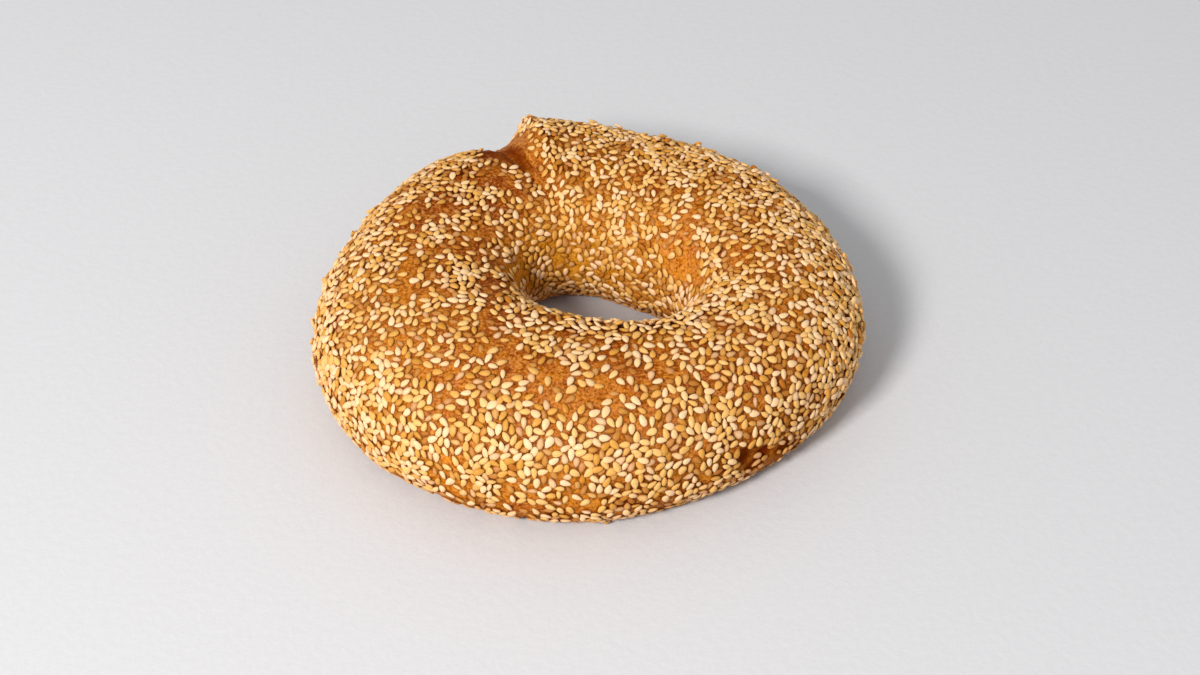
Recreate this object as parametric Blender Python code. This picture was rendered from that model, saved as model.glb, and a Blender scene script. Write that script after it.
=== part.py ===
"""A koulouri: one thick ring of baked bread dough with sesame seeds on it, lying on its flat base.

The rope of dough runs from its blunt head, clockwise round the hole, to a thinner tail that is
tucked in beside the head at the back left. Lengths are metres, +Z is up, and the middle of the
flat base is at the origin. A turn angle is measured about the hole, anticlockwise from +X, and a
section angle goes round the rope: 0 faces outwards, 90 degrees is the top and 180 faces the hole.
"""

import math
import random

import bmesh
import bpy
from mathutils import Matrix, Vector

MM = 0.001

# The ring as a whole. The hole is not quite in the middle.
OUTER_RADIUS = 78.0 * MM
HOLE_RADIUS = 20.0 * MM
DOUGH_HEIGHT = 40.1 * MM
HOLE_CENTRE = Vector((3.7, 0.5, 0.0)) * MM

# Hand shaping makes the ring uneven. Each swell is its number of lobes round the ring, how far
# it stands out, and the turn angle of its first lobe.
OUTER_SWELLS = (
    (1, 5.8 * MM, math.radians(-160)),
    (2, 2.0 * MM, math.radians(4)),
    (3, 2.2 * MM, math.radians(-8)),
    (4, 0.8 * MM, math.radians(32)),
    (5, 0.9 * MM, math.radians(-20)),
)
HOLE_SWELLS = (
    (1, 1.2 * MM, math.radians(-99)),
    (2, 4.6 * MM, math.radians(-26)),
    (3, 0.6 * MM, math.radians(-25)),
)
HEIGHT_SWELLS = ((1, 0.8 * MM, math.radians(-143)),)

# The section of the rope: fullest a little below half height, with a flat foot under it.
FULLEST_AT = 0.40
SQUARENESS = 2.3
FOOT_ANGLE = math.radians(-45)

# The join. The head ends in a blunt edge, and beyond it the rope falls away to the low tail.
HEAD_END = math.radians(109)
STEP_WIDTH = math.radians(9.8)
HEAD_RISE = 2.9 * MM
HEAD_LENGTH = math.radians(13)
TAIL_DROP = 7.5 * MM
TAIL_LENGTH = math.radians(27)
JOIN_FACING = math.radians(50)
ROPE_HALF_WIDTH = 28 * MM

# The facets of the dough. The steps round the ring are closer together beside the join.
RING_STEPS = 72
SECTION_STEPS = 18
CROWDING = 0.6

# The largest of the sesame seeds, each a flat drop that is half sunk in the crust.
SEED_COUNT = 215
SEED_LENGTH = 3.4 * MM
SEED_WIDTH = 2.1 * MM
SEED_THICKNESS = 1.2 * MM
SEED_TAPER = 0.35
SEED_SUNK = 0.1 * MM
SEED_SIDES = 6
SEED_RINGS = 3
SIZE_RANGE = 0.12
SEED_DRAWS = 24
CROWN_SHARE = 0.75
SEED_LOWEST = math.radians(-28)
RANDOM_START = 11


def clear_scene():
    """Take out every object that a new file starts with."""
    for obj in list(bpy.data.objects):
        bpy.data.objects.remove(obj)


def swollen(size, swells, turn):
    """The size at this turn angle, with the swells of the hand shaping."""
    return size + sum(rise * math.cos(lobes * (turn - first)) for lobes, rise, first in swells)


def rounded(value):
    """A sine or cosine drawn out towards a square corner."""
    return math.copysign(abs(value) ** (2 / SQUARENESS), value)


def join_growth(turn, section):
    """How much larger the section is here than the plain rope, on its way past the join."""
    past = turn % math.tau - HEAD_END
    on_tail = math.sin(math.pi / 2 * min(max(past / STEP_WIDTH, 0.0), 1.0))
    head = HEAD_RISE * math.exp(min(past, 0.0) / HEAD_LENGTH)
    tail = -TAIL_DROP * math.exp(-max(past, 0.0) / TAIL_LENGTH)
    facing = (0.5 + 0.5 * math.cos(section - JOIN_FACING)) ** 2
    return 1 + (on_tail * tail + (1 - on_tail) * head) * facing / ROPE_HALF_WIDTH


def dough_point(turn, section):
    """The point of the dough's surface at these two angles."""
    outer = swollen(OUTER_RADIUS, OUTER_SWELLS, turn)
    inner = swollen(HOLE_RADIUS, HOLE_SWELLS, turn)
    height = swollen(DOUGH_HEIGHT, HEIGHT_SWELLS, turn)
    fullest = FULLEST_AT * height
    growth = join_growth(turn, section)
    outwards = (outer - inner) / 2 * rounded(math.cos(section)) * growth
    upwards = rounded(math.sin(section))
    if upwards > 0:
        rise = (height - fullest) * upwards * growth
    else:
        rise = -fullest * min(upwards / rounded(math.sin(FOOT_ANGLE)), 1.0)
    radius = (outer + inner) / 2 + outwards
    return HOLE_CENTRE + Vector(
        (radius * math.cos(turn), radius * math.sin(turn), fullest + rise)
    )


def dough_frame(turn, section):
    """The surface point with the directions along the rope, across it and out of the crust."""
    step = math.radians(0.5)
    point = dough_point(turn, section)
    along = (dough_point(turn + step, section) - point).normalized()
    across = (dough_point(turn, section + step) - point).normalized()
    out = along.cross(across).normalized()
    return point, along, out.cross(along), out


def make_dough():
    """The plain ring: a section with a flat foot, spun once round and then shaped by its angles."""
    ring_guide = (OUTER_RADIUS + HOLE_RADIUS) / 2
    tube_guide = (OUTER_RADIUS - HOLE_RADIUS) / 2
    centre = Vector((ring_guide, 0, 0))
    bm = bmesh.new()
    foot_out = Vector((math.cos(FOOT_ANGLE), 0, math.sin(FOOT_ANGLE))) * tube_guide
    first = bm.verts.new(centre + foot_out)
    bmesh.ops.spin(
        bm,
        geom=[first],
        cent=centre,
        axis=(0, -1, 0),
        angle=math.pi - 2 * FOOT_ANGLE,
        steps=SECTION_STEPS,
    )
    ends = [vert for vert in bm.verts if len(vert.link_edges) == 1]
    bmesh.ops.contextual_create(bm, geom=ends)
    bmesh.ops.spin(
        bm,
        geom=bm.verts[:] + bm.edges[:],
        cent=(0, 0, 0),
        axis=(0, 0, 1),
        angle=math.tau,
        steps=RING_STEPS,
        use_merge=True,
    )
    for vert in bm.verts:
        turn = math.atan2(vert.co.y, vert.co.x)
        turn -= CROWDING * math.sin(turn - HEAD_END)
        reach = math.hypot(vert.co.x, vert.co.y) - ring_guide
        section = math.atan2(vert.co.z, reach)
        if section < FOOT_ANGLE - math.radians(1):
            section += math.tau
        vert.co = dough_point(turn, section)
    bmesh.ops.recalc_face_normals(bm, faces=bm.faces)
    mesh = bpy.data.meshes.new("koulouri")
    bm.to_mesh(mesh)
    bm.free()
    dough = bpy.data.objects.new("koulouri", mesh)
    bpy.context.scene.collection.objects.link(dough)
    return dough


def make_seed_mesh():
    """One sesame seed about its middle: long in X, flat in Z, with its pointed end at +X."""
    bm = bmesh.new()
    bmesh.ops.create_uvsphere(bm, u_segments=SEED_SIDES, v_segments=SEED_RINGS, radius=0.5)
    bmesh.ops.rotate(bm, verts=bm.verts, cent=(0, 0, 0), matrix=Matrix.Rotation(math.pi / 2, 3, "Y"))
    for vert in bm.verts:
        narrow = 1 - SEED_TAPER * vert.co.x
        vert.co.x *= SEED_LENGTH
        vert.co.y *= SEED_WIDTH * narrow
        vert.co.z *= SEED_THICKNESS * narrow
    mesh = bpy.data.meshes.new("sesame_seed")
    bm.to_mesh(mesh)
    bm.free()
    return mesh


def seed_places():
    """Where the seeds lie: each is the one of several random places that is most on its own."""
    draw = random.Random(RANDOM_START)
    places = []
    for _ in range(SEED_COUNT):
        best, most_room = None, -1.0
        for _ in range(SEED_DRAWS):
            turn = draw.uniform(0, math.tau)
            section = draw.uniform(SEED_LOWEST, math.pi - SEED_LOWEST)
            place = dough_frame(turn, section)
            room = min(((place[0] - other[0]).length for other in places), default=0.0)
            room *= 1 - (1 - CROWN_SHARE) * max(place[3].z, 0.0)
            if room > most_room:
                best, most_room = place, room
        heading = draw.uniform(0, math.tau)
        size = 1 + draw.uniform(-SIZE_RANGE, SIZE_RANGE)
        places.append((*best, heading, size))
    return places


def fuse_seeds(dough):
    """Join the seeds to the dough in one union, and take away the separate seeds."""
    seeds = bpy.data.collections.new("seeds")
    bpy.context.scene.collection.children.link(seeds)
    seed_mesh = make_seed_mesh()
    for point, along, across, out, heading, size in seed_places():
        seed = bpy.data.objects.new("seed", seed_mesh)
        turned = Matrix((along, across, out)).transposed() @ Matrix.Rotation(heading, 3, "Z")
        seed.matrix_world = Matrix.LocRotScale(
            point - out * SEED_SUNK, turned.to_quaternion(), Vector((size, size, size))
        )
        seeds.objects.link(seed)
    union = dough.modifiers.new("seeds", "BOOLEAN")
    union.operation = "UNION"
    union.operand_type = "COLLECTION"
    union.collection = seeds
    union.solver = "EXACT"
    graph = bpy.context.evaluated_depsgraph_get()
    plain = dough.data
    dough.data = bpy.data.meshes.new_from_object(dough.evaluated_get(graph))
    dough.modifiers.clear()
    bpy.data.meshes.remove(plain)
    for seed in list(seeds.objects):
        bpy.data.objects.remove(seed)
    bpy.data.collections.remove(seeds)


def triangulate(obj):
    """Turn the many-sided faces round the seeds into triangles, and shade the whole smooth."""
    bm = bmesh.new()
    bm.from_mesh(obj.data)
    bmesh.ops.triangulate(bm, faces=bm.faces)
    bm.to_mesh(obj.data)
    bm.free()
    obj.data.shade_smooth()


def crust_material():
    """Baked crust: a satin golden brown."""
    material = bpy.data.materials.new("baked_crust")
    material.use_nodes = True
    shader = material.node_tree.nodes["Principled BSDF"]
    shader.inputs["Base Color"].default_value = (0.53, 0.23, 0.07, 1)
    shader.inputs["Roughness"].default_value = 0.45
    shader.inputs["Metallic"].default_value = 0.0
    return material


def main():
    clear_scene()
    dough = make_dough()
    fuse_seeds(dough)
    triangulate(dough)
    dough.data.materials.clear()
    dough.data.materials.append(crust_material())


main()
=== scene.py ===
"""The looks of the koulouri: its baked crust, its sesame seeds, the light and the camera.

Lengths are metres and +Z is up. A turn angle is measured about the hole, anticlockwise from +X,
and a section angle goes round the rope of dough: 0 faces outwards, 90 degrees is the top and 180
faces the hole.
"""

import math

import bmesh
import bpy
import numpy as np
from mathutils import Matrix, Vector, noise
from mathutils.kdtree import KDTree


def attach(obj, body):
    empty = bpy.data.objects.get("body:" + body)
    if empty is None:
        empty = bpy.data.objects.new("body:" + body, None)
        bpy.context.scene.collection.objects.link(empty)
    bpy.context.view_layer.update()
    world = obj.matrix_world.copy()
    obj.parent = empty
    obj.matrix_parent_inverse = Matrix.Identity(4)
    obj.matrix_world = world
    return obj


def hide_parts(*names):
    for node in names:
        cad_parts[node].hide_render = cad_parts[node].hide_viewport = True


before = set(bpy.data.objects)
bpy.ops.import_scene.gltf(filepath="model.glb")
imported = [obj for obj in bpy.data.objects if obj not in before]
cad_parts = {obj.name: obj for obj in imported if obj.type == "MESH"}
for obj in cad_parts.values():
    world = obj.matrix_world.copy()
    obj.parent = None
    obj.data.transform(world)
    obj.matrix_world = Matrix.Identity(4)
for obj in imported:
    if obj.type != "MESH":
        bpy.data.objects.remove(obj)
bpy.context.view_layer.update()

MM = 0.001

# The ring of dough, as the solid has it.
OUTER_RADIUS = 78.0 * MM
HOLE_RADIUS = 20.0 * MM
DOUGH_HEIGHT = 40.1 * MM
HOLE_CENTRE = np.array((3.7, 0.5, 0.0)) * MM
OUTER_SWELLS = (
    (1, 5.8 * MM, math.radians(-160)),
    (2, 2.0 * MM, math.radians(4)),
    (3, 2.2 * MM, math.radians(-8)),
    (4, 0.8 * MM, math.radians(32)),
    (5, 0.9 * MM, math.radians(-20)),
)
HOLE_SWELLS = (
    (1, 1.2 * MM, math.radians(-99)),
    (2, 4.6 * MM, math.radians(-26)),
    (3, 0.6 * MM, math.radians(-25)),
)
HEIGHT_SWELLS = ((1, 0.8 * MM, math.radians(-143)),)
FULLEST_AT = 0.40
SQUARENESS = 2.3
FOOT_ANGLE = math.radians(-45)

# The join of the rope: the blunt end of the head, and the low tail beyond it.
HEAD_END = math.radians(109)
STEP_WIDTH = math.radians(9.8)
HEAD_RISE = 2.9 * MM
HEAD_LENGTH = math.radians(13)
TAIL_DROP = 7.5 * MM
TAIL_LENGTH = math.radians(27)
JOIN_FACING = math.radians(50)
ROPE_HALF_WIDTH = 28 * MM

# The solid's face runs through the seeds, so the bare crust lies a little under it. The steps
# of the crust round the ring are closer together beside the end of the head, and its edge at the
# flat foot is rounded off.
CRUST_DEPTH = 0.4 * MM
CRUST_TURNS = 540
CRUST_SECTIONS = 160
CROWDING = 0.6
FOOT_MARGIN = 0.001
FOOT_ROUNDED_BELOW = 3 * MM
FOOT_ROUNDING_STEPS = 8

# Slow and quick unevenness of the dough's skin: how high it is and how far apart its bumps are.
SKIN_WAVES = (
    (0.50 * MM, 17 * MM),
    (0.20 * MM, 6 * MM),
    (0.06 * MM, 1.8 * MM),
)

# Beside the head: the crease where it meets the tail, and the thin lip of skin above the crease,
# whose line is its section angle and how far past the head it is. Each span says where something
# starts, how soon it is full, where it ends and how soon it fades. These spans are section angles
# in radians.
CREASE_PAST = math.radians(10.5)
CREASE_DEPTH = 0.9 * MM
CREASE_WIDTH = math.radians(1.6)
CREASE_SPAN = (-0.4, 0.6, 2.5, 0.9)
LIP_LINE = (
    (math.radians(70), math.radians(5.4)),
    (math.radians(92), math.radians(6.2)),
    (math.radians(103), math.radians(8.0)),
    (math.radians(118), math.radians(8.6)),
)
LIP_SPAN = (1.25, 0.20, 2.15, 0.35)
LIP_RISE = 0.35 * MM
LIP_WIDTH = math.radians(0.45)
LIP_WAVER = math.radians(0.4)
LIP_WAVES = 19
WRINKLE_RISE = 0.22 * MM
WRINKLE_FULLNESS = 1.6
WRINKLES_APART = math.radians(1.5)
WRINKLE_LENGTH = math.radians(15)

# The bare face and strip between the head and the tail, in degrees: by section angle, its middle
# line past the head and how far it reaches to both sides of that line. Its edge is ragged in
# waves: how far each goes, how many there are round the section, and where they start.
BARE_MIDDLE = ((28, 8.4), (44, 8.8), (66, 10.2), (88, 10.2), (98, 8.8), (130, 8.4))
BARE_REACH = (
    (10, 0.5),
    (28, 4.2),
    (44, 6.2),
    (66, 6.4),
    (86, 5.8),
    (98, 2.8),
    (114, 1.6),
    (128, 0.0),
)
BARE_SPAN = (12, 20, 140, 14)
BARE_FADE = 1.6
RAGGED_EDGE = ((0.7, 9, 1), (0.5, 23, 0))

# The fold of the bare face, which is darkest, partly browner crust and partly painted shade in the
# crease, in degrees past the head and round the section.
FOLD_PAST_SPAN = (5.5, 2.0, 20.0, 4.0)
FOLD_SECTION_SPAN = (52, 12, 106, 18)
FOLD_WAVER = math.radians(1.2)

# How dark the fold is, partly painted shade, and how pale the lip and the side of the head are, the
# lip with a painted highlight, and how much the wrinkles change each.
FOLD_DARKNESS = 0.85
FOLD_WRINKLING = -0.3
LIP_AND_SIDE_PALENESS = 0.75
LIP_AND_SIDE_WRINKLING = 0.5

# The paler side of the head: how far past the head and how far up the section it goes.
HEAD_SIDE_END = math.radians(7.5)
HEAD_SIDE_FADE = math.radians(3.5)
HEAD_SIDE_TOP = 1.45
HEAD_SIDE_TOP_FADE = 0.3
# How strong the painted highlight is where the lip catches the light, and how pale the side of the
# head is.
PAINTED_LIP_LIGHT = 0.4
PALER_SIDE = 0.6

# Hollows of the skin: turn and section angle in degrees, reach and depth in millimetres, and how
# dark the painted shadow inside it is. Above 1 the painted shadow reaches further out.
HOLLOWS = (
    (303, 0, 3.0, 2.8, 1.7),
    (308, -6, 3.2, 1.9, 1.7),
    (314, -11, 3.2, 1.2, 1.3),
    (305, -15, 3.6, 0.8, 1.2),
    (318, -22, 4.0, 0.4, 1.0),
    (6, 142, 9.0, 0.9, 0.0),
)
DARK_REACH = 1.4

# Places where the crust is browner or paler, partly from its baking and partly painted light and
# shade: paler on the left where the window's light falls, darker on the slope left of the hole
# where shade falls. They also scale the painted shade between the seeds. Turn angle, section angle
# and reach both ways, in degrees, and the change.
BROWNING_AND_LIGHT_CHANGES = (
    (188, 16, 42, 34, -0.65),
    (206, 70, 38, 24, -0.46),
    (350, 76, 26, 20, -0.20),
    (200, 116, 36, 15, 0.75),
    (288, 118, 46, 14, 0.38),
    (144, 90, 22, 34, 0.45),
    (318, 14, 26, 30, 0.28),
    (270, -18, 48, 22, 1.00),
    (80, 152, 52, 24, -0.62),
    (58, 112, 60, 26, -0.26),
    (248, 32, 40, 28, -0.20),
)

# Places that have a rosy bloom, partly the crust's own tone and partly a painted sheen: turn angle,
# section angle and reach both ways, in degrees, and how strong it is.
ROSY_AND_SHEEN_PLACES = (
    (258, 41, 60, 34, 0.62),
    (215, 86, 40, 36, 0.20),
    (20, 80, 70, 50, 0.12),
)

# The slope at the back that looks into the hole, and the wall of the hole below it: the section
# angle in radians where it starts, how soon it is full, the turn angle where it is strongest, and
# how strong it is a quarter of the ring away from there.
BACK_SLOPE = (1.75, 0.5, math.radians(50), 0.50)
INNER_WALL = (2.3, 0.6, math.radians(118), 0.45)
# On the back slope the browning and the painted shade between seeds are lessened, and it takes a rosy
# tone that is partly a painted sheen.
SLOPE_EVENNESS = 0.5
SLOPE_ROSINESS = 0.48

# The crust is painted darker between crowded seeds, as painted shade in the gaps, and is darker
# close to the table, partly browner from the tray and partly painted shade where it meets the
# table. The flat underside is paler than its edge. Its fade from the edge is a difference in the
# sine of the section angle.
BROWN_FOOT = 9 * MM
UNDERSIDE_FADE = 0.12
UNDERSIDE_PALER = 0.5
CROWDED_WITHIN = 2.2 * MM
CROWDED_FROM = 0.35
CROWDED_SPAN = 0.75

# A hulled sesame seed is a flat drop, which covers 0.72 of the rectangle round it. Each has its own
# size, taper and plumpness. Those on the front of the ring are a little larger than those at its
# back. Those at the back are a little browner, and those that have sunk in are roasted a little
# browner.
SEED_LENGTH = 3.16 * MM
SEED_WIDTH = 1.90 * MM
SEED_THICKNESS = 0.98 * MM
SEED_SIDES = 8
SEED_RINGS = 5
SEED_AREA = 0.72 * SEED_LENGTH * SEED_WIDTH
SIZE_SPREAD = 0.075
SMALLEST = 0.80
LARGEST = 1.18
TAPER_RANGE = (0.30, 0.80)
TIP_NARROWING = 0.8
FLATNESS = 0.8
THINNEST = 0.4
PLUMPNESS_SPREAD = 0.085
LARGER_IN_FRONT = 0.06
BROWNER_AT_BACK = 0.10
ROASTED_IF_SUNK = 0.2
RANDOM_START = 23


def swollen(size, swells, turn):
    """The size at these turn angles, with the swells of the hand shaping."""
    return size + sum(rise * np.cos(lobes * (turn - first)) for lobes, rise, first in swells)


def rounded(value):
    """A sine or cosine drawn out towards a square corner."""
    return np.sign(value) * np.abs(value) ** (2 / SQUARENESS)


def ease(value):
    """A smooth climb from 0 to 1 as the value goes from 0 to 1."""
    value = np.clip(value, 0.0, 1.0)
    return value * value * (3 - 2 * value)


def between(value, start, climb, end, fall):
    """0 at the start, 1 once it has climbed, and 0 again at the end after its fall."""
    return ease((value - start) / climb) * ease((end - value) / fall)


def past_head(turn):
    """How far round the ring this place is past the end of the head, on the way to the tail."""
    return turn % math.tau - HEAD_END


def join_growth(turn, section):
    """How much larger the section is here than the plain rope, on its way past the join."""
    past = past_head(turn)
    on_tail = np.sin(math.pi / 2 * np.clip(past / STEP_WIDTH, 0.0, 1.0))
    head = HEAD_RISE * np.exp(np.minimum(past, 0.0) / HEAD_LENGTH)
    tail = -TAIL_DROP * np.exp(-np.maximum(past, 0.0) / TAIL_LENGTH)
    facing = (0.5 + 0.5 * np.cos(section - JOIN_FACING)) ** 2
    return 1 + (on_tail * tail + (1 - on_tail) * head) * facing / ROPE_HALF_WIDTH


def dough_points(turn, section):
    """The points of the solid's face at these two angles, one row for each."""
    outer = swollen(OUTER_RADIUS, OUTER_SWELLS, turn)
    inner = swollen(HOLE_RADIUS, HOLE_SWELLS, turn)
    height = swollen(DOUGH_HEIGHT, HEIGHT_SWELLS, turn)
    fullest = FULLEST_AT * height
    growth = join_growth(turn, section)
    radius = (outer + inner) / 2 + (outer - inner) / 2 * rounded(np.cos(section)) * growth
    upwards = rounded(np.sin(section))
    over = (height - fullest) * upwards * growth
    under = -fullest * np.minimum(upwards / rounded(math.sin(FOOT_ANGLE)), 1.0)
    rise = fullest + np.where(upwards > 0, over, under)
    return HOLE_CENTRE + np.stack((radius * np.cos(turn), radius * np.sin(turn), rise), axis=-1)


def unit(rows):
    """Each row at length 1."""
    return rows / np.linalg.norm(rows, axis=-1, keepdims=True)


def dough_frames(turn, section):
    """The points, and the directions along the rope, across it and out of it."""
    step = math.radians(0.4)
    along = unit(dough_points(turn + step, section) - dough_points(turn - step, section))
    across = unit(dough_points(turn, section + step) - dough_points(turn, section - step))
    out = unit(np.cross(along, across))
    return dough_points(turn, section), along, np.cross(out, along), out


def change_at(changes, turn, section):
    """The sum of these changes here, each strongest at its own place and fading round it."""
    total = np.zeros_like(turn)
    for *degrees, change in changes:
        at_turn, at_section, turn_reach, section_reach = map(math.radians, degrees)
        round_ring = (turn - at_turn + math.pi) % math.tau - math.pi
        away = (round_ring / turn_reach) ** 2 + ((section - at_section) / section_reach) ** 2
        total += change * np.exp(-away)
    return total


HOLLOW_PLACES = [
    (dough_points(math.radians(turn), math.radians(section)), reach * MM, depth * MM, dark)
    for turn, section, reach, depth, dark in HOLLOWS
]


def skin_rise(point, turn, section):
    """How far the crust stands out at a point of the dough, from its bumps, hollows and crease."""
    rise = 0.0
    for height, apart in SKIN_WAVES:
        rise += height * noise.noise(Vector(point) / apart)
    for middle, reach, depth, _ in HOLLOW_PLACES:
        away = float(np.linalg.norm(point - middle)) / reach
        rise -= depth * math.exp(-away * away)
    crease = math.exp(-(((float(past_head(turn)) - CREASE_PAST) / CREASE_WIDTH) ** 2))
    rise -= CREASE_DEPTH * crease * float(between(section, *CREASE_SPAN))
    rise += LIP_RISE * float(lip_share(turn, section))
    return rise + WRINKLE_RISE * wrinkle(turn, section) * float(bare_share(turn, section))


def wrinkle(turn, section):
    """The fine wrinkles that run down the bare face of the join, from about -1 to 1."""
    place = Vector((past_head(turn) / WRINKLES_APART, section / WRINKLE_LENGTH, 0.5))
    return WRINKLE_FULLNESS * noise.noise(place)


def lip_share(turn, section):
    """1 along the wavering thin lip of skin on the bare face of the join, 0 away from it."""
    line = np.interp(section, *zip(*LIP_LINE)) + LIP_WAVER * np.sin(LIP_WAVES * section)
    across = np.exp(-(((past_head(turn) - line) / LIP_WIDTH) ** 2))
    return across * between(section, *LIP_SPAN)


def bare_share(turn, section):
    """1 on the bare face and strip between the head and the tail, 0 away from it."""
    degrees = np.degrees(section)
    middle = np.interp(degrees, *zip(*BARE_MIDDLE))
    reach = np.interp(degrees, *zip(*BARE_REACH))
    outside = np.abs(np.degrees(past_head(turn)) - middle) - reach
    ragged = sum(rise * np.sin(waves * section + first) for rise, waves, first in RAGGED_EDGE)
    return (1 - ease((outside + ragged) / BARE_FADE + 0.5)) * between(degrees, *BARE_SPAN)


def fold_share(turn, section):
    """1 where the bare face is deep in the fold, darkest from its browning and painted shade, 0 away
    from it.
    """
    across = between(np.degrees(past_head(turn)), *FOLD_PAST_SPAN)
    return across * between(np.degrees(section), *FOLD_SECTION_SPAN)


def lip_highlight_and_pale_side(turn, section):
    """How pale the join is painted: a painted highlight along its lip, and paler on the side of the
    head.
    """
    side = ease((HEAD_SIDE_END - past_head(turn)) / HEAD_SIDE_FADE)
    side *= ease((HEAD_SIDE_TOP - section) / HEAD_SIDE_TOP_FADE) * bare_share(turn, section)
    return np.maximum(PAINTED_LIP_LIGHT * lip_share(turn, section), PALER_SIDE * side)


def painted_hollow_shade(points):
    """How dark the painted shadow in the hollows is at these points, 0 away from them."""
    darkest = np.zeros(len(points))
    for middle, reach, _, dark in HOLLOW_PLACES:
        away = np.linalg.norm(points - middle, axis=1) / (DARK_REACH * reach)
        darkest = np.maximum(darkest, dark * np.exp(-away * away))
    return darkest


def crust_frames(turn, section):
    """The points of the bare crust with their three directions."""
    points, along, across, out = dough_frames(turn, section)
    rises = np.array([skin_rise(*place) for place in zip(points, turn, section)])
    return points + out * (rises - CRUST_DEPTH)[:, None], along, across, out


def tree_of(points):
    """The points sorted by place, for looking up what lies near a point."""
    tree = KDTree(len(points))
    for index, point in enumerate(points):
        tree.insert(point, index)
    tree.balance()
    return tree


def store_values(mesh, name, values):
    """Keep one number for each point of the mesh, for a material to read."""
    mesh.attributes.new(name, "FLOAT", "POINT").data.foreach_set("value", values.astype(np.float32))


def finished_piece(name, mesh, material):
    """A piece of the bread from its mesh: shaded smooth, with its finish, riding on the bread."""
    mesh.shade_smooth()
    mesh.materials.append(material)
    piece = bpy.data.objects.new(name, mesh)
    bpy.context.scene.collection.objects.link(piece)
    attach(piece, "root")
    return piece


# Crust

def spin_ring(bm):
    """Fill the bmesh with a round section spun round the hole, and give its points' two angles."""
    ring_guide = (OUTER_RADIUS + HOLE_RADIUS) / 2
    tube_guide = (OUTER_RADIUS - HOLE_RADIUS) / 2
    upright = Matrix.Translation((ring_guide, 0, 0)) @ Matrix.Rotation(math.pi / 2, 4, "X")
    bmesh.ops.create_circle(bm, segments=CRUST_SECTIONS, radius=tube_guide, matrix=upright)
    bmesh.ops.spin(
        bm,
        geom=bm.verts[:] + bm.edges[:],
        cent=(0, 0, 0),
        axis=(0, 0, 1),
        angle=math.tau,
        steps=CRUST_TURNS,
        use_merge=True,
    )
    places = np.array([vert.co for vert in bm.verts])
    turn = np.arctan2(places[:, 1], places[:, 0])
    turn -= CROWDING * np.sin(turn - HEAD_END)
    reach = np.hypot(places[:, 0], places[:, 1]) - ring_guide
    section = np.arctan2(places[:, 2], reach)
    section[section < -math.pi / 2] += math.tau
    return turn, section


def make_crust(material, seed_middles):
    """The skin of the bread: a spun ring shaped by its angles, with a flat and rounded-off foot."""
    bm = bmesh.new()
    turn, section = spin_ring(bm)
    points, _, _, out = crust_frames(turn, section)
    beneath = np.sin(section) < math.sin(FOOT_ANGLE) + FOOT_MARGIN
    points[beneath, 2] = CRUST_DEPTH
    for vert, point in zip(bm.verts, points):
        vert.co = point
    near_foot = [vert for vert in bm.verts if vert.co.z < FOOT_ROUNDED_BELOW]
    for _ in range(FOOT_ROUNDING_STEPS):
        bmesh.ops.smooth_vert(
            bm, verts=near_foot, factor=0.5, use_axis_x=True, use_axis_y=True, use_axis_z=True
        )
    bmesh.ops.recalc_face_normals(bm, faces=bm.faces)
    mesh = bpy.data.meshes.new("crust")
    bm.to_mesh(mesh)
    bm.free()
    for name, values in baking(turn, section, points, out, seed_middles).items():
        store_values(mesh, name, values)
    piece = finished_piece("crust", mesh, material)
    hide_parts("koulouri")


def baking(turn, section, points, out, seed_middles):
    """How each point of the crust has baked, and where light and shade are painted on it, as the
    numbers that its material reads.
    """
    wrinkles = np.array([wrinkle(*angles) for angles in zip(turn, section)])
    back_slope = facing_share(turn, section, *BACK_SLOPE)
    evenness = 1 - SLOPE_EVENNESS * back_slope
    # Browning together with painted light and shade, which also scales the painted shade between
    # seeds.
    baked = change_at(BROWNING_AND_LIGHT_CHANGES, turn, section)
    # The fold's darker crust and painted shade, wavering with the wrinkles.
    fold = fold_share(turn + FOLD_WAVER * wrinkles, section)
    fold *= FOLD_DARKNESS + FOLD_WRINKLING * wrinkles
    # The painted highlight along the lip and the paler side of the head.
    thin = lip_highlight_and_pale_side(turn, section) * (LIP_AND_SIDE_PALENESS + LIP_AND_SIDE_WRINKLING * wrinkles)
    # Painted shade in the gaps between crowded seeds, and at the foot the tray's browning with painted
    # shade where it meets the table.
    crowded = crowding_of(points, seed_middles) * evenness * (1 + baked)
    underneath = ease((math.sin(FOOT_ANGLE) - np.sin(section)) / UNDERSIDE_FADE)
    near_table = close_to_table(points) * (1 - UNDERSIDE_PALER * underneath)
    return {
        "browning": np.clip(out[:, 2], 0, 1) * evenness + baked,
        "inner_wall": facing_share(turn, section, *INNER_WALL),
        "seam": bare_share(turn, section),
        # The fold's darkness also carries the painted shadow in the hollows.
        "fold": np.maximum(fold, painted_hollow_shade(points)),
        "lip_highlight_and_pale_side": thin,
        "rosy_tone_and_sheen": SLOPE_ROSINESS * back_slope + change_at(ROSY_AND_SHEEN_PLACES, turn, section),
        "gap_shade_and_brown_foot": np.maximum(crowded, near_table),
    }


def facing_share(turn, section, start, climb, strongest, middling):
    """1 up the section from its start at the strongest turn angle, and less round the ring."""
    round_ring = middling + (1 - middling) * np.cos(turn - strongest)
    return ease((section - start) / climb) * round_ring


def close_to_table(points):
    """1 down at the table, 0 above the brown foot."""
    return ease((BROWN_FOOT - points[:, 2]) / BROWN_FOOT)


def crowding_of(points, seed_middles):
    """0 on open crust, up to 1 in the gaps between seeds that lie close together."""
    tree = tree_of(seed_middles)
    near = [
        sum(1 - away / CROWDED_WITHIN for _, _, away in tree.find_range(point, CROWDED_WITHIN))
        for point in points
    ]
    return np.clip((np.array(near) - CROWDED_FROM) / CROWDED_SPAN, 0, 1)


# Seeds

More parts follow.
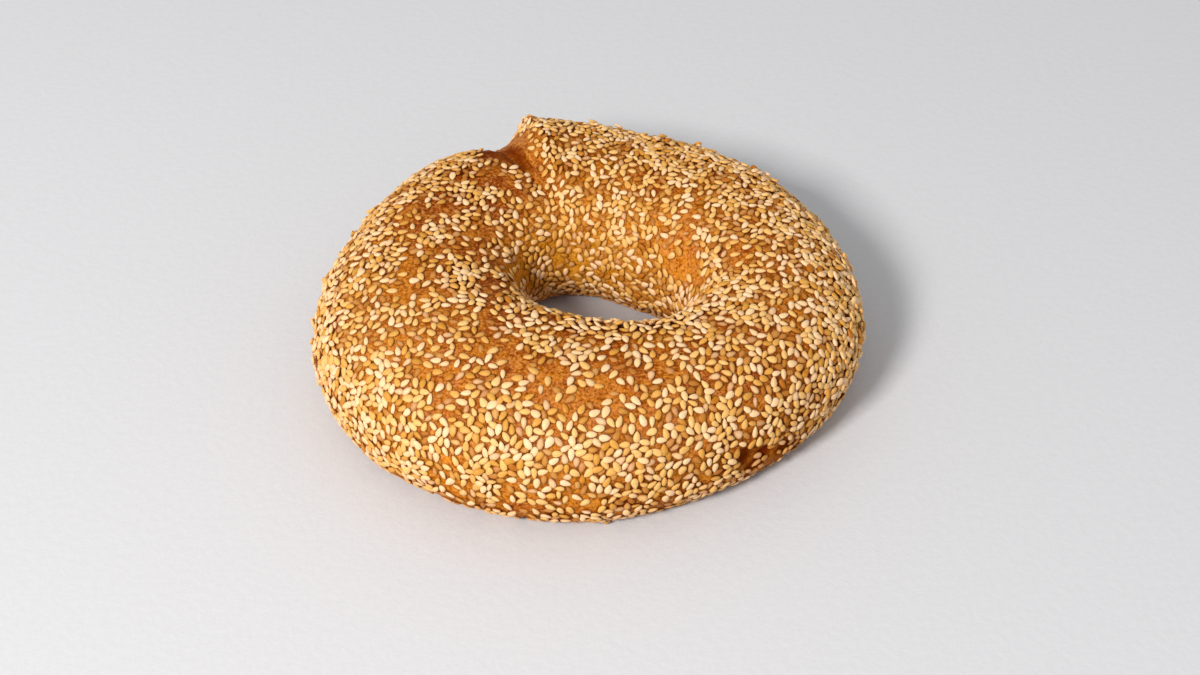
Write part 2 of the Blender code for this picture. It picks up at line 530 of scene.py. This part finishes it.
# How much of the crust the seeds hide: section angle in degrees and share, and then places round
# the ring with more or fewer of them: turn angle, section angle and reach both ways, in degrees,
# and the change.
COVER_BY_SECTION = (
    (-50, 0.50),
    (-25, 0.60),
    (0, 0.68),
    (25, 0.71),
    (45, 0.65),
    (62, 0.59),
    (80, 0.51),
    (94, 0.49),
    (108, 0.52),
    (125, 0.52),
    (145, 0.51),
    (165, 0.55),
    (185, 0.62),
    (225, 0.50),
)
COVER_CHANGES = (
    (185, 18, 36, 34, 0.20),
    (268, -14, 40, 20, -0.20),
    (258, 30, 50, 22, -0.06),
    (186, 116, 38, 13, -0.18),
    (70, 134, 42, 26, 0.24),
    (318, 38, 18, 40, -0.06),
    (352, 20, 28, 34, 0.20),
    (55, 66, 50, 28, 0.28),
    (202, 74, 30, 16, -0.07),
    (272, 76, 26, 20, -0.20),
    (238, 88, 18, 13, -0.10),
    (325, 96, 22, 24, 0.16),
    (285, 117, 42, 9, 0.21),
    (4, 132, 20, 22, -0.34),
    (8, 158, 10, 10, -0.10),
    (168, 160, 24, 20, -0.13),
    (142, 86, 20, 20, -0.14),
    (305, -5, 4.6, 7, -1.40),
    (312, -10, 5, 4.5, -0.80),
    (317, -24, 7, 9, -0.50),
    (246, -30, 12, 9, -0.35),
)

# The seeds lie in loose clusters, less so where they hide more of the crust.
CLUSTERS_APART = 8 * MM
CLUSTERING = 1.70
CLUSTERS_FADE = 1.5

# Seeds fall at random within these section angles. Each keeps its own room from those that landed
# before it: the room of a seed, packed this closely, times a random share in this range.
CANDIDATES = 120000
LOWEST_SECTION = math.radians(-50)
HIGHEST_SECTION = math.radians(230)
PACKING = 0.66
ROOM_RANGE = (0.65, 1.3)
NO_SEEDS_UNDER = 0.06
FEWEST_LAYERS = 0.01

# How many seeds deep the crust is covered to hide each share of it.
LAYERS_BY_COVER = ((0.0, 0.0), (0.30, 0.27), (0.50, 0.46), (0.65, 0.63), (0.80, 0.98), (1.0, 2.2))

# Seeds that overlap slide apart in steps, and those that still overlap climb and lean.
MEETING_DISTANCE = 1.15 * SEED_LENGTH
SPREADING_STEPS = 10
LONGEST_PUSH = 0.6 * MM
PUSH_SHARE = 0.3
TOUCHING_AT = 0.95
SLIPS_UNDER = 0.06
HELD_UP_SPAN = 0.35
CLIMB_STEP = 0.74 * SEED_THICKNESS
MOST_CLIMB = 2.0 * CLIMB_STEP
LEANING = 0.30
LEAN_GROWTH = 4
USUAL_TILT = 0.09
LOOSE_TILT = 0.17

# How high a seed's middle stands over the crust against its thickness, how much lower it is when
# quite sunk in and how rare that is, how much darker a seed under another one is painted with
# shade, and how stained by the crust a seed at the table is. No seed goes below the lowest point.
USUAL_LIFT = 0.34
SUNK_BY = 0.50
SUNK_RARITY = 2.5
BURIED_SHADE = 0.70
TABLE_STAIN = 0.9
LOWEST_POINT = 0.02 * MM

# Places where the seeds are tousled: turn angle, section angle and reach both ways, in degrees, and
# how much they tilt, in radians. They rise by this much for each radian.
TOUSLED_PLACES = (
    (282, 126, 46, 14, 0.54),
    (205, 114, 30, 14, 0.25),
)
TOUSLED_RISE = 1.2 * MM


def seed_cover(turn, section):
    """The share of the crust that the seeds hide at these places."""
    degrees, shares = zip(*COVER_BY_SECTION)
    angles = [math.radians(value) for value in degrees]
    cover = np.interp(section, angles, shares) + change_at(COVER_CHANGES, turn, section)
    points = dough_points(turn, section)
    clusters = np.array([noise.noise(Vector(point) / CLUSTERS_APART) for point in points])
    cover = cover + CLUSTERING * clusters * (1 - cover) ** CLUSTERS_FADE
    return np.clip(cover * (1 - bare_share(turn, section)), 0.0, 1.0)


def surface_scales(turn, section):
    """How long a radian is here, along the rope and across it."""
    step = math.radians(0.5)
    here = dough_points(turn, section)
    along = np.linalg.norm(dough_points(turn + step, section) - here, axis=1)
    across = np.linalg.norm(dough_points(turn, section + step) - here, axis=1)
    return along / step, across / step


def size_round_ring(turn):
    """How large the seeds are here, against the usual size."""
    return 1 - LARGER_IN_FRONT * np.sin(turn)


def scatter(draw):
    """The turn and section angles where seeds land, closer together where more crust is hidden."""
    turn = draw.uniform(0, math.tau, CANDIDATES)
    section = draw.uniform(LOWEST_SECTION, HIGHEST_SECTION, CANDIDATES)
    along, across = surface_scales(turn, section)
    area = along * across
    large_area = np.quantile(area, 0.99)
    even = draw.uniform(0, large_area, CANDIDATES) < area
    cover = seed_cover(turn, section)
    layers = np.interp(cover, *zip(*LAYERS_BY_COVER))
    apart = np.sqrt(PACKING * SEED_AREA / np.maximum(layers, FEWEST_LAYERS))
    apart *= size_round_ring(turn) * draw.uniform(*ROOM_RANGE, CANDIDATES)
    points = dough_points(turn, section)
    shelves = {}
    landed = []
    steps = (-1, 0, 1)
    around = [(i, j, k) for i in steps for j in steps for k in steps]
    for index in np.flatnonzero(even & (cover > NO_SEEDS_UNDER)):
        place = Vector(points[index])
        shelf = [int(value // SEED_LENGTH) for value in place]
        cells = [(shelf[0] + i, shelf[1] + j, shelf[2] + k) for i, j, k in around]
        near = (other for cell in cells for other in shelves.get(cell, ()))
        if all((other - place).length > apart[index] for other in near):
            shelves.setdefault(tuple(shelf), []).append(place)
            landed.append(index)
    return turn[landed], section[landed]


def half_reach(towards, length_way, size):
    """How far each seed reaches from its middle in its direction."""
    along = np.sum(towards * length_way, axis=1)
    narrowness = (along / SEED_LENGTH) ** 2 + np.clip(1 - along * along, 0, 1) / SEED_WIDTH ** 2
    return size / 2 / np.sqrt(narrowness)


def meetings(points, length_way, size):
    """Each near pair of seeds: how far apart they are, which way, and how far they reach."""
    tree = tree_of(points)
    pairs = [
        (index, other)
        for index, point in enumerate(points)
        for _, other, _ in tree.find_range(point, MEETING_DISTANCE)
        if other < index
    ]
    later, earlier = np.array(pairs).T
    offset = points[earlier] - points[later]
    distance = np.maximum(np.linalg.norm(offset, axis=1), 1e-6)
    towards = offset / distance[:, None]
    reach = half_reach(towards, length_way[later], size[later])
    reach += half_reach(towards, length_way[earlier], size[earlier])
    return later, earlier, distance, towards, reach


def slide_apart(turn, section, heading, size):
    """The angles of the seeds after those that overlap have made room for each other."""
    for _ in range(SPREADING_STEPS):
        points, along, across, _ = dough_frames(turn, section)
        length_way = along * np.cos(heading) + across * np.sin(heading)
        later, earlier, distance, towards, reach = meetings(points, length_way, size)
        push = towards * (np.clip(reach - distance, 0, LONGEST_PUSH) * PUSH_SHARE)[:, None]
        move = np.zeros_like(points)
        np.add.at(move, later, -push)
        np.add.at(move, earlier, push)
        along_scale, across_scale = surface_scales(turn, section)
        turn = turn + np.sum(move * along, axis=1) / along_scale
        section = section + np.sum(move * across, axis=1) / across_scale
        section = np.clip(section, LOWEST_SECTION, HIGHEST_SECTION)
    return turn, section


def pile_up(points, length_way, size):
    """How far each seed has climbed on earlier ones, how far later ones cover it, and its lean."""
    later, earlier, distance, towards, reach = meetings(points, length_way, size)
    overlap = 1 - distance / (reach * TOUCHING_AT)
    held_up = ease((overlap - SLIPS_UNDER) / HELD_UP_SPAN)
    climb = np.zeros(len(points))
    buried = np.zeros(len(points))
    lean = np.zeros_like(points)
    for pair in np.flatnonzero(overlap > 0):
        seed, other = later[pair], earlier[pair]
        step = min((climb[other] + CLIMB_STEP) * held_up[pair], MOST_CLIMB)
        climb[seed] = max(climb[seed], step)
        buried[other] = max(buried[other], held_up[pair])
        steepness = min(1.0, overlap[pair] * LEAN_GROWTH) * (1 - overlap[pair])
        lean[seed] -= towards[pair] * LEANING * steepness
    return climb, buried, lean


def settle_seeds():
    """Seeds that have fallen on the crust and made room for each other, or lie on each other."""
    draw = np.random.default_rng(RANDOM_START)
    turn, section = scatter(draw)
    count = len(turn)
    heading = draw.uniform(0, math.tau, (count, 1))
    size = np.clip(draw.normal(1.0, SIZE_SPREAD, count), SMALLEST, LARGEST) * size_round_ring(turn)
    turn, section = slide_apart(turn, section, heading, size)
    points, along, across, normal = crust_frames(turn, section)
    length_way = along * np.cos(heading) + across * np.sin(heading)
    climb, buried, lean = pile_up(points, length_way, size)
    loose = np.minimum(1.0, climb / CLIMB_STEP)
    tousled = change_at(TOUSLED_PLACES, turn, section)
    flat_way = normal + lean + draw.normal(0, USUAL_TILT, (count, 3))
    flat_way += (LOOSE_TILT * loose + tousled)[:, None] * draw.normal(0, 1, (count, 3))
    sunk = (1 - loose) * draw.uniform(0, 1, count) ** SUNK_RARITY
    # Seeds sunk in are stained; those under another seed are painted darker with shade, and those at
    # the table are stained.
    stain = np.maximum(sunk, BURIED_SHADE * buried * (1 - loose))
    stain = np.maximum(stain, TABLE_STAIN * close_to_table(points) ** 0.5)
    return {
        "place": points,
        "normal": normal,
        "length_way": length_way,
        "flat_way": flat_way,
        "size": size,
        "climb": climb + TOUSLED_RISE * tousled,
        "sunk": sunk,
        "back_browning": BROWNER_AT_BACK * (0.5 + 0.5 * np.sin(turn)),
        # Seeds in a hollow take its painted shadow as well.
        "stain": np.maximum(stain, np.clip(painted_hollow_shade(points), 0, 1)),
    }


def seed_shape():
    """The points and faces of one seed about its middle, 1 long, wide and thick."""
    bm = bmesh.new()
    bmesh.ops.create_uvsphere(bm, u_segments=SEED_SIDES, v_segments=SEED_RINGS, radius=0.5)
    bmesh.ops.rotate(bm, verts=bm.verts, cent=(0, 0, 0), matrix=Matrix.Rotation(math.pi / 2, 3, "Y"))
    bm.verts.index_update()
    points = np.array([vert.co for vert in bm.verts])
    faces = [[vert.index for vert in face.verts] for face in bm.faces]
    bm.free()
    return points, faces


def make_seeds(name, seeds, material, draw):
    """One piece of many seeds of one kind, each with its point at one end of its length."""
    shape, faces = seed_shape()
    x, y, z = shape.T
    count = len(seeds["size"])
    taper = draw.uniform(*TAPER_RANGE, (count, 1))
    plump = draw.normal(1.0, PLUMPNESS_SPREAD, (count, 1))
    narrowing = 1 - taper * x - TIP_NARROWING * np.maximum(x, 0) ** 2
    size = seeds["size"][:, None]
    long_way = x * SEED_LENGTH * size
    wide_way = y * SEED_WIDTH * size * plump * narrowing
    flattened = np.sign(z) * np.abs(z * 2) ** FLATNESS / 2
    thick_way = flattened * SEED_THICKNESS * (THINNEST + (1 - THINNEST) * narrowing)
    flat_way = unit(seeds["flat_way"])
    length_way = seeds["length_way"]
    length_way = unit(length_way - flat_way * np.sum(length_way * flat_way, axis=1, keepdims=True))
    side_way = np.cross(flat_way, length_way)
    lift = seeds["climb"] + SEED_THICKNESS * (USUAL_LIFT - SUNK_BY * seeds["sunk"])
    middle = seeds["place"] + seeds["normal"] * lift[:, None]
    points = (
        middle[:, None, :]
        + long_way[..., None] * length_way[:, None, :]
        + wide_way[..., None] * side_way[:, None, :]
        + thick_way[..., None] * flat_way[:, None, :]
    )
    points[..., 2] = np.maximum(points[..., 2], LOWEST_POINT)
    step = len(shape)
    all_faces = [
        [corner + step * index for corner in face] for index in range(count) for face in faces
    ]
    mesh = bpy.data.meshes.new(name)
    mesh.from_pydata(points.reshape(-1, 3), [], all_faces)
    mesh.update()
    store_values(mesh, "tint", np.repeat(draw.uniform(0, 1, count), step))
    store_values(mesh, "stain", np.repeat(seeds["stain"], step))
    clear = (lift[:, None] + thick_way) / SEED_THICKNESS
    store_values(mesh, "clear_of_crust", clear.reshape(-1))
    store_values(mesh, "tip", np.tile(x * 2, count))
    finished_piece(name, mesh, material)


# Materials

# How far apart the spots of each pattern are. The real specks and blisters of the crust are 0.3 to
# 0.5 mm apart, too fine to show, so they are drawn about twice as coarse.
CLOUDS_APART = 14 * MM
PATCHES_APART = 3.8 * MM
BLUSH_APART = 2.2 * MM
SPECKLES_APART = 0.9 * MM
MOTTLE_APART = 1.1 * MM
PLASTER_APART = 2.4 * MM

# Settings that several nodes share, and the sockets of a Mix node for colours.
OF_COLOURS = {"data_type": "RGBA"}
CLAMPED_PRODUCT = {"operation": "MULTIPLY", "use_clamp": True}
FIRST_COLOUR = 6
SECOND_COLOUR = 7
MIXED_COLOUR = 2


def colour(code):
    """A linear colour from its sRGB hex value."""
    channels = [int(code[place:place + 2], 16) / 255 for place in (1, 3, 5)]
    linear = [
        value / 12.92 if value <= 0.04045 else ((value + 0.055) / 1.055) ** 2.4
        for value in channels
    ]
    return (*linear, 1.0)


def add_node(tree, kind, settings=None, inputs=None):
    """One shader node. An input is a value, or another node's output to link from."""
    node = tree.nodes.new(kind)
    for name, value in (settings or {}).items():
        setattr(node, name, value)
    for name, value in (inputs or {}).items():
        if isinstance(value, bpy.types.NodeSocket):
            tree.links.new(value, node.inputs[name])
        else:
            node.inputs[name].default_value = value
    return node


def new_material(name):
    """An empty node material and its tree."""
    material = bpy.data.materials.new(name)
    material.use_nodes = True
    material.node_tree.nodes.clear()
    return material, material.node_tree


def baked_crust():
    """Lean wheat dough dipped in syrup and baked: a satin skin, orange-brown where it faces up,
    yellower down its sides and in the hole, rosy in places partly as a painted sheen, darkest in the
    fold, with painted shade in the fold, the hollows and between the seeds, a painted highlight along
    the lip of the join, painted light and shade in some places, fine brown specks and pale blisters."""
    material, tree = new_material("baked_crust")
    browning, inner, seam, fold, thin, rosy_tone_and_sheen, gap_shade_and_brown_foot = [
        add_node(tree, "ShaderNodeAttribute", {"attribute_name": name}).outputs["Fac"]
        for name in ("browning", "inner_wall", "seam", "fold", "lip_highlight_and_pale_side", "rosy_tone_and_sheen", "gap_shade_and_brown_foot")
    ]
    place = add_node(tree, "ShaderNodeTexCoord").outputs["Object"]
    clouds, patches, streaks, grain = [
        add_node(
            tree,
            "ShaderNodeTexNoise",
            inputs={"Vector": place, "Scale": 1 / apart, "Detail": detail, "Roughness": roughness},
        ).outputs["Fac"]
        for apart, detail, roughness in (
            (CLOUDS_APART, 4.0, 0.6),
            (PATCHES_APART, 3.0, 0.6),
            (BLUSH_APART, 4.0, 0.65),
            (SPECKLES_APART, 3.0, 0.7),
        )
    ]

    # Each value is spread from its own range to the range that is wanted.
    ranges = {
        "baked": (browning, 0.1, 1.35, 0.1, 0.90),
        "cloudy": (clouds, 0.3, 0.7, -0.35, 0.35),
        "spotty": (patches, 0.3, 0.7, 0.4, -0.4),
        "paler": (patches, 0.50, 0.70, 0.0, 0.5),
        "blush": (streaks, 0.38, 0.60, 0.1, 1.0),
        "streaky": (patches, 0.35, 0.65, 1.0, 0.7),
        "specks": (grain, 0.50, 0.64, 0.0, 0.74),
        "blisters": (grain, 0.49, 0.36, 0.0, 0.60),
        "satin": (patches, 0.3, 0.7, 0.38, 0.56),
    }
    spread = {
        name: add_node(
            tree,
            "ShaderNodeMapRange",
            inputs={"Value": value, "From Min": low, "From Max": high, "To Min": start, "To Max": end},
        ).outputs["Result"]
        for name, (value, low, high, start, end) in ranges.items()
    }
    rosy, golden, orange, dark, painted_shade_share = [
        add_node(tree, "ShaderNodeMath", CLAMPED_PRODUCT, {0: value, 1: factor}).outputs[0]
        for value, factor in (
            (spread["blush"], rosy_tone_and_sheen),
            (inner, 0.75),
            (seam, 0.6),
            (fold, spread["streaky"]),
            (gap_shade_and_brown_foot, 0.88),
        )
    ]
    uneven = add_node(
        tree, "ShaderNodeMath", {"operation": "ADD"}, {0: spread["cloudy"], 1: spread["spotty"]}
    ).outputs[0]
    depth = add_node(
        tree,
        "ShaderNodeMath",
        {"operation": "ADD", "use_clamp": True},
        {0: spread["baked"], 1: uneven},
    ).outputs[0]
    covered = add_node(
        tree, "ShaderNodeMath", {"operation": "MAXIMUM"}, {0: fold, 1: gap_shade_and_brown_foot}
    ).outputs[0]
    open_skin = add_node(
        tree, "ShaderNodeMath", {"operation": "SUBTRACT", "use_clamp": True}, {0: 1.0, 1: covered}
    ).outputs[0]
    blistered = add_node(
        tree, "ShaderNodeMath", {"operation": "MULTIPLY"}, {0: spread["blisters"], 1: open_skin}
    ).outputs[0]

    # From the golden skin outwards, each colour lies over those before it by its own share.
    tone = colour("#CC780E")
    for share, over in (
        # The browning, deeper where the crust faces up, with the painted light and shade of the
        # changes listed above.
        (depth, "#8C3A01"),
        (spread["paler"], "#BC7024"),
        # A rosy tone, partly the crust's own and partly a painted sheen.
        (rosy, "#C27644"),
        (golden, "#D08A14"),
        (orange, "#A8560E"),
        # Darker crust with painted shade in the fold and in the hollows.
        (dark, "#6C2602"),
        # A painted highlight along the lip, and the paler side of the head.
        (thin, "#CC8A44"),
        # Painted shade between crowded seeds, and browning with painted shade at the foot.
        (painted_shade_share, "#501A00"),
        (spread["specks"], "#5E2402"),
        (blistered, "#D8944A"),
    ):
        mixed = {"Factor": share, FIRST_COLOUR: tone, SECOND_COLOUR: colour(over)}
        tone = add_node(tree, "ShaderNodeMix", OF_COLOURS, mixed).outputs[MIXED_COLOUR]

    dull = add_node(
        tree,
        "ShaderNodeMath",
        {"operation": "MULTIPLY_ADD"},
        {0: covered, 1: 0.4, 2: spread["satin"]},
    ).outputs[0]
    fine = add_node(
        tree, "ShaderNodeBump", inputs={"Strength": 0.8, "Distance": 0.2 * MM, "Height": grain}
    ).outputs["Normal"]
    lumpy = add_node(
        tree,
        "ShaderNodeBump",
        inputs={"Strength": 0.7, "Distance": 0.5 * MM, "Height": patches, "Normal": fine},
    ).outputs["Normal"]
    shader = add_node(
        tree,
        "ShaderNodeBsdfPrincipled",
        inputs={
            "Base Color": tone,
            "Roughness": dull,
            "Normal": lumpy,
            "Specular IOR Level": 0.035,
            "Specular Tint": colour("#F0A850"),
        },
    )
    add_node(tree, "ShaderNodeOutputMaterial", inputs={"Surface": shader.outputs[0]})
    return material


def roasted_sesame(name, light, deep, rim):
    """Hulled sesame roasted on the crust: smooth and waxy, browner at its point, darker round its low
    rim near the crust, partly from toasting and partly painted contact shade, stained like the crust
    where it has sunk in or lies at the table, and painted darker with shade under another seed or in
    a hollow."""
    material, tree = new_material(name)
    tint, clear, tip, stain = [
        add_node(tree, "ShaderNodeAttribute", {"attribute_name": value}).outputs["Fac"]
        for value in ("tint", "clear_of_crust", "tip", "stain")
    ]
    place = add_node(tree, "ShaderNodeTexCoord").outputs["Object"]
    mottle = add_node(
        tree,
        "ShaderNodeTexNoise",
        inputs={"Vector": place, "Scale": 1 / MOTTLE_APART, "Detail": 2.0, "Roughness": 0.5},
    ).outputs["Fac"]
    ranges = {
        "deeper": (mottle, 0.42, 0.72, 0.0, 0.6),
        "low": (clear, 0.58, 0.05, 0.0, 1.0),
        "point": (tip, 0.66, 1.0, 0.0, 0.5),
        "stain_and_shade": (stain, 0.40, 1.0, 0.0, 0.7),
    }
    spread = {
        part: add_node(
            tree,
            "ShaderNodeMapRange",
            inputs={"Value": value, "From Min": low, "From Max": high, "To Min": start, "To Max": end},
        ).outputs["Result"]
        for part, (value, low, high, start, end) in ranges.items()
    }
    # The low side near the crust is darker, partly toasting and partly painted contact shade; the
    # point is toasted.
    toasted = add_node(
        tree,
        "ShaderNodeMath",
        {"operation": "MAXIMUM", "use_clamp": True},
        {0: spread["low"], 1: spread["point"]},
    ).outputs[0]

    tone = colour(light)
    for share, over in (
        (tint, deep),
        (spread["deeper"], deep),
        (toasted, rim),
        (spread["stain_and_shade"], "#BC7830"),
    ):
        mixed = {"Factor": share, FIRST_COLOUR: tone, SECOND_COLOUR: colour(over)}
        tone = add_node(tree, "ShaderNodeMix", OF_COLOURS, mixed).outputs[MIXED_COLOUR]

    bump = add_node(
        tree, "ShaderNodeBump", inputs={"Strength": 0.3, "Distance": 0.08 * MM, "Height": mottle}
    ).outputs["Normal"]
    shader = add_node(
        tree,
        "ShaderNodeBsdfPrincipled",
        inputs={
            "Base Color": tone,
            "Roughness": 0.40,
            "Specular IOR Level": 0.15,
            "Subsurface Weight": 0.24,
            "Subsurface Radius": (0.8 * MM, 0.45 * MM, 0.2 * MM),
            "Subsurface Scale": 1.0,
            "Normal": bump,
        },
    )
    add_node(tree, "ShaderNodeOutputMaterial", inputs={"Surface": shader.outputs[0]})
    return material


def pale_table():
    """Matt grey-white plaster of a table top, with a faint fine texture."""
    material, tree = new_material("pale_table")
    place = add_node(tree, "ShaderNodeTexCoord").outputs["Object"]
    fine = add_node(
        tree,
        "ShaderNodeTexNoise",
        inputs={"Vector": place, "Scale": 1 / PLASTER_APART, "Detail": 5.0, "Roughness": 0.6},
    ).outputs["Fac"]
    mixed = {"Factor": fine, FIRST_COLOUR: colour("#CAC7C7"), SECOND_COLOUR: colour("#D1CECE")}
    tone = add_node(tree, "ShaderNodeMix", OF_COLOURS, mixed).outputs[MIXED_COLOUR]
    bump = add_node(
        tree, "ShaderNodeBump", inputs={"Strength": 0.25, "Distance": 0.5 * MM, "Height": fine}
    ).outputs["Normal"]
    shader = add_node(
        tree,
        "ShaderNodeBsdfPrincipled",
        inputs={"Base Color": tone, "Roughness": 0.7, "Normal": bump},
    )
    add_node(tree, "ShaderNodeOutputMaterial", inputs={"Surface": shader.outputs[0]})
    return material


# Stage

# The camera looks along +Y and down on the bread, through a lens a little longer than normal.
CAMERA_PLACE = Vector((3.0, -478.3, 443.0)) * MM
CAMERA_DOWN = math.radians(42.47)
CAMERA_LENS = 64.5
SENSOR_WIDTH = 36.0
NEAREST_SEEN = 0.01
FLOOR_SIZE = 6.0

# A window of light at the front left, and the pale light of a room from all round.
WINDOW_PLACE = Vector((-0.72, -1.05, 1.04))
WINDOW_POWER = 28.4
WINDOW_SIZE = 0.36
ROOM_COLOUR = "#EEF4F8"
ROOM_STRENGTH = 0.64


def make_camera():
    """The camera at the photograph's viewing angle."""
    data = bpy.data.cameras.new("camera")
    data.lens = CAMERA_LENS
    data.sensor_width = SENSOR_WIDTH
    data.clip_start = NEAREST_SEEN
    camera = bpy.data.objects.new("camera", data)
    camera.location = CAMERA_PLACE
    camera.rotation_euler = (math.pi / 2 - CAMERA_DOWN, 0, 0)
    bpy.context.scene.collection.objects.link(camera)
    bpy.context.scene.camera = camera


def make_floor(material):
    """The plain pale floor."""
    bm = bmesh.new()
    bmesh.ops.create_grid(bm, x_segments=1, y_segments=1, size=FLOOR_SIZE / 2)
    mesh = bpy.data.meshes.new("floor")
    bm.to_mesh(mesh)
    bm.free()
    mesh.materials.append(material)
    floor = bpy.data.objects.new("floor", mesh)
    bpy.context.scene.collection.objects.link(floor)


def make_lights():
    """The soft square light of the window, facing the bread, and the light of the room."""
    data = bpy.data.lights.new("window", "AREA")
    data.energy = WINDOW_POWER
    data.size = WINDOW_SIZE
    window = bpy.data.objects.new("window", data)
    window.location = WINDOW_PLACE
    window.rotation_euler = (-WINDOW_PLACE).to_track_quat("-Z", "Y").to_euler()
    bpy.context.scene.collection.objects.link(window)
    world = bpy.data.worlds.new("room")
    world.use_nodes = True
    sky = world.node_tree.nodes["Background"]
    sky.inputs["Color"].default_value = colour(ROOM_COLOUR)
    sky.inputs["Strength"].default_value = ROOM_STRENGTH
    bpy.context.scene.world = world
    bpy.context.scene.view_settings.view_transform = "Standard"


# The kinds of seed, from the palest: how roasted the first seed is that is too brown for it, and
# the colours of its palest and deepest seeds and of their low rims near the crust, which are toasted
# and painted with contact shade.
KINDS = (
    ("pale_sesame", 0.44, "#EEC69A", "#E8BA82", "#88440A"),
    ("golden_sesame", 0.78, "#E8BA7A", "#E0A95C", "#7E3C04"),
    ("honey_sesame", 0.94, "#DEA85E", "#D39642", "#7A3804"),
    ("tan_sesame", 1.02, "#D49A46", "#C2842C", "#703202"),
    ("toasted_sesame", math.inf, "#C8842A", "#A86014", "#642E02"),
)


def main():
    """The whole scene: the camera, the light, the floor, the seeds and the crust."""
    make_camera()
    make_lights()
    make_floor(pale_table())
    seeds = settle_seeds()
    make_crust(baked_crust(), seeds["place"])
    draw = np.random.default_rng(RANDOM_START + 1)
    roast = draw.uniform(0, 1, len(seeds["size"]))
    roast += ROASTED_IF_SUNK * seeds["sunk"] + seeds["back_browning"]
    lowest = 0.0
    for name, highest, light, deep, rim in KINDS:
        chosen = (roast >= lowest) & (roast < highest)
        kind = {value: rows[chosen] for value, rows in seeds.items()}
        make_seeds(name, kind, roasted_sesame(name, light, deep, rim), draw)
        lowest = highest


main()
